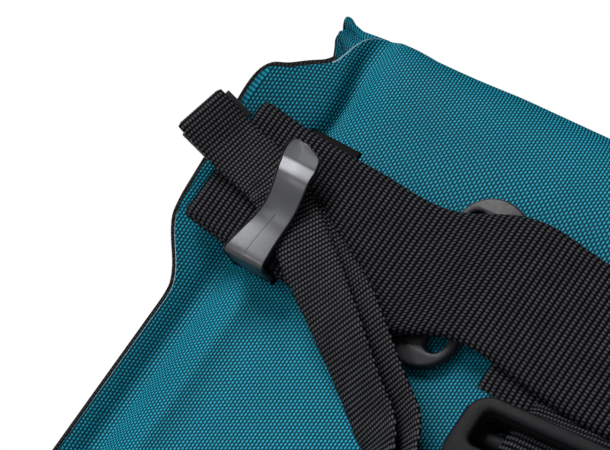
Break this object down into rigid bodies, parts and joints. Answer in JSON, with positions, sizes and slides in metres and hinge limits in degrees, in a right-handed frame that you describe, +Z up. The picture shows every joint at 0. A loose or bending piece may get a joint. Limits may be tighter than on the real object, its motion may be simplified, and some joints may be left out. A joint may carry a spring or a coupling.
{
  "type": "pannier bag",
  "caption": "Welded roll-top pannier bag with flanged side welds, strap tabs, front belts, sprung strap clips, side-release buckles and latching rack hooks.",
  "frame": {"origin": "middle of the flat underside of the base boot", "axes": "+Z up, -Y toward the outer front face, +Y toward the rack, +X to the right seen from the front"},
  "size_m": [0.2832, 0.119, 0.3017],
  "materials": {
    "coated_fabric": "coated plain weave, satin",
    "back_fabric": "black coated plain weave",
    "webbing": "ribbed woven webbing",
    "narrow_webbing": "fine woven tape",
    "boot_plastic": "fine grained",
    "steel": "satin",
    "rail_aluminium": "black anodised",
    "plate_plastic": "satin",
    "clip_steel": "satin black coating",
    "board_plastic": "smooth",
    "grip_rubber": "ribbed",
    "latch_plastic": "satin",
    "black_plastic": "satin moulded"
  },
  "bodies": {
    "root": {"back_sheet": "back_fabric", "front_shell": "coated_fabric", "back_collar": "coated_fabric", "roll_top": "coated_fabric", "roll_strip": "board_plastic", "base_boot": "boot_plastic", "boot_rivets": "steel", "stiffener_board": "board_plastic", "hook_rail": "rail_aluminium", "rail_end_caps": "black_plastic", "rail_screws": "steel", "rail_washers": "steel", "lower_rail": "rail_aluminium", "lower_rail_screws": "steel", "front_belt": "webbing", "inner_belt": "webbing", "belt_plate_left": "plate_plastic", "belt_plate_right": "plate_plastic", "plate_rivets": "steel", "narrow_strap_left": "narrow_webbing", "narrow_strap_right": "narrow_webbing", "strap_end_left": "plate_plastic", "strap_end_right": "plate_plastic", "strap_anchor": "black_plastic", "anchor_rivets": "steel", "closure_strap_left": "webbing", "closure_strap_right": "webbing", "buckle_socket_left": "black_plastic", "buckle_socket_right": "black_plastic", "strap_loops": "black_plastic"},
    "clip_left_body": {"clip_left": "clip_steel"},
    "clip_right_body": {"clip_right": "clip_steel"},
    "plug_left": {"buckle_plug_left": "black_plastic", "lower_strap_left": "webbing"},
    "plug_right": {"buckle_plug_right": "black_plastic", "lower_strap_right": "webbing"},
    "rack_hook_left": {"hook_left": "black_plastic", "hook_insert_left": "latch_plastic", "latch_pin_left": "steel"},
    "rack_hook_right": {"hook_right": "black_plastic", "hook_insert_right": "latch_plastic", "latch_pin_right": "steel"},
    "latch_lever_left": {"latch_left": "latch_plastic"},
    "latch_lever_right": {"latch_right": "latch_plastic"},
    "handle": {"pull_handle": "webbing", "handle_grip": "grip_rubber"},
    "lower_slider": {"lower_carriage": "black_plastic", "lower_hook_screw": "steel"},
    "lower_arm": {"lower_hook": "black_plastic"}
  },
  "joints": [
    {"name": "clip_left_slide", "type": "slide", "parent": "root", "child": "clip_left_body", "axis": [0.8759, -0.4826, 0], "range_m": [-0.005, 0.004]},
    {"name": "buckle_left_release", "type": "slide", "parent": "root", "child": "plug_left", "axis": [0, -0.1167, -0.9932], "range_m": [0, 0.02]},
    {"name": "rack_hook_left_slide", "type": "slide", "parent": "root", "child": "rack_hook_left", "axis": [1, 0, 0], "range_m": [-0.015, 0.015]},
    {"name": "latch_left_hinge", "type": "hinge", "parent": "rack_hook_left", "child": "latch_lever_left", "pos_m": [-0.074, 0.05783, 0.2478], "axis": [-1, 0, 0], "range_deg": [0, 60]},
    {"name": "clip_right_slide", "type": "slide", "parent": "root", "child": "clip_right_body", "axis": [-0.8759, -0.4826, 0], "range_m": [-0.005, 0.004]},
    {"name": "buckle_right_release", "type": "slide", "parent": "root", "child": "plug_right", "axis": [0, -0.1167, -0.9932], "range_m": [0, 0.02]},
    {"name": "rack_hook_right_slide", "type": "slide", "parent": "root", "child": "rack_hook_right", "axis": [1, 0, 0], "range_m": [-0.015, 0.015]},
    {"name": "latch_right_hinge", "type": "hinge", "parent": "rack_hook_right", "child": "latch_lever_right", "pos_m": [0.074, 0.05783, 0.2478], "axis": [-1, 0, 0], "range_deg": [0, 60]},
    {"name": "handle_lift", "type": "slide", "parent": "root", "child": "handle", "axis": [0, 0, 1], "range_m": [0, 0.012], "stiffness_N_per_m": 120, "springref_m": -0.012},
    {"name": "lower_hook_slide", "type": "slide", "parent": "root", "child": "lower_slider", "axis": [1, 0, 0], "range_m": [-0.045, 0.045]},
    {"name": "lower_hook_swivel", "type": "hinge", "parent": "lower_slider", "child": "lower_arm", "pos_m": [0, 0.05023, 0.095], "axis": [0, 1, 0], "range_deg": [-90, 90]}
  ],
  "couplings": [
    {"joint": "latch_left_hinge", "follows": "handle_lift", "rad_per_m": 87.266},
    {"joint": "latch_right_hinge", "follows": "handle_lift", "rad_per_m": 87.266}
  ]
}
